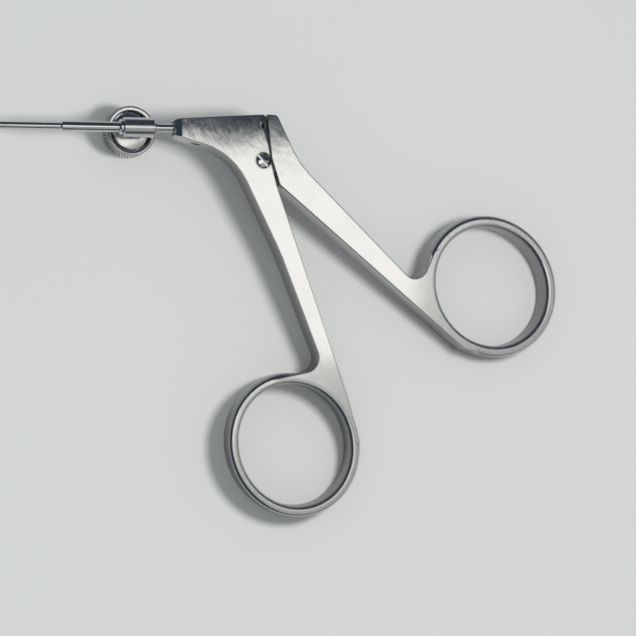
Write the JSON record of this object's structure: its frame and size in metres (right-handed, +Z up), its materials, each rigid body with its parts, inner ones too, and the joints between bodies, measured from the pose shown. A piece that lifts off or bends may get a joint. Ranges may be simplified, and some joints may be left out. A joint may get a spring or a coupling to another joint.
{
  "type": "endoscopic biopsy forceps",
  "caption": "Ring-handled forceps with a thin rigid shaft, a capped cleaning port and double-action biopsy cups worked by a pull rod.",
  "frame": {"origin": "centre of the footprint on the surface that the instrument lies on, with its port cap and both finger rings touching it", "axes": "+Z up, +X along the shaft from the cups to the handles, +Y away from the finger rings"},
  "size_m": [0.3758, 0.087, 0.0233],
  "materials": {
    "satin_handles": "satin, finely brushed along the arms",
    "screws": "turned and polished",
    "polished_tubes": "drawn and polished",
    "turned_port": "turned and polished",
    "knurled_cap": "turned rim, knurled side",
    "seals": "smooth",
    "rod_steel": "drawn wire",
    "jaw_steel": "polished"
  },
  "bodies": {
    "root": {"fixed_handle": "satin_handles", "pivot_screw": "screws", "set_screw": "screws", "rear_tube": "polished_tubes", "barrel": "turned_port", "port_neck": "turned_port", "sleeve_collar": "turned_port", "reinforcing_sleeve": "polished_tubes", "shaft_tube": "polished_tubes", "rod_seal": "seals", "jaw_housing": "jaw_steel", "jaw_pin": "rod_steel"},
    "lever": {"moving_handle": "satin_handles"},
    "drive": {"pull_rod": "rod_steel", "rod_ball": "rod_steel", "jaw_drive": "rod_steel", "drive_pin": "rod_steel"},
    "upper_cup": {"upper_jaw": "jaw_steel"},
    "lower_cup": {"lower_jaw": "jaw_steel"},
    "cap": {"port_cap": "knurled_cap", "cap_seal": "seals"}
  },
  "joints": [
    {"name": "handle_pivot", "type": "hinge", "parent": "root", "child": "lever", "pos_m": [0.1201, 0.03101, 0.00803], "axis": [-0.0451, 0.0679, -0.9967], "range_deg": [-1.5, 5.5]},
    {"name": "rod_slide", "type": "slide", "parent": "root", "child": "drive", "axis": [0.999, 0.0015, -0.0451], "range_m": [-0.000177, 0.000647]},
    {"name": "upper_jaw_hinge", "type": "hinge", "parent": "root", "child": "upper_cup", "pos_m": [-0.18533, 0.03726, 0.02228], "axis": [0.0451, -0.0679, 0.9967], "range_deg": [-9.55, 35]},
    {"name": "lower_jaw_hinge", "type": "hinge", "parent": "root", "child": "lower_cup", "pos_m": [-0.18533, 0.03726, 0.02228], "axis": [-0.0451, 0.0679, -0.9967], "range_deg": [-9.55, 35]},
    {"name": "cap_turn", "type": "hinge", "parent": "root", "child": "cap", "pos_m": [0.09379, 0.03798, 0.00538], "axis": [-0.0451, 0.0679, -0.9967], "range_deg": [0, 180]}
  ],
  "couplings": [
    {"joint": "rod_slide", "follows": "handle_pivot", "m_per_rad": 0.00674},
    {"joint": "upper_jaw_hinge", "follows": "handle_pivot", "ratio": 6.3636},
    {"joint": "lower_jaw_hinge", "follows": "handle_pivot", "ratio": 6.3636}
  ]
}
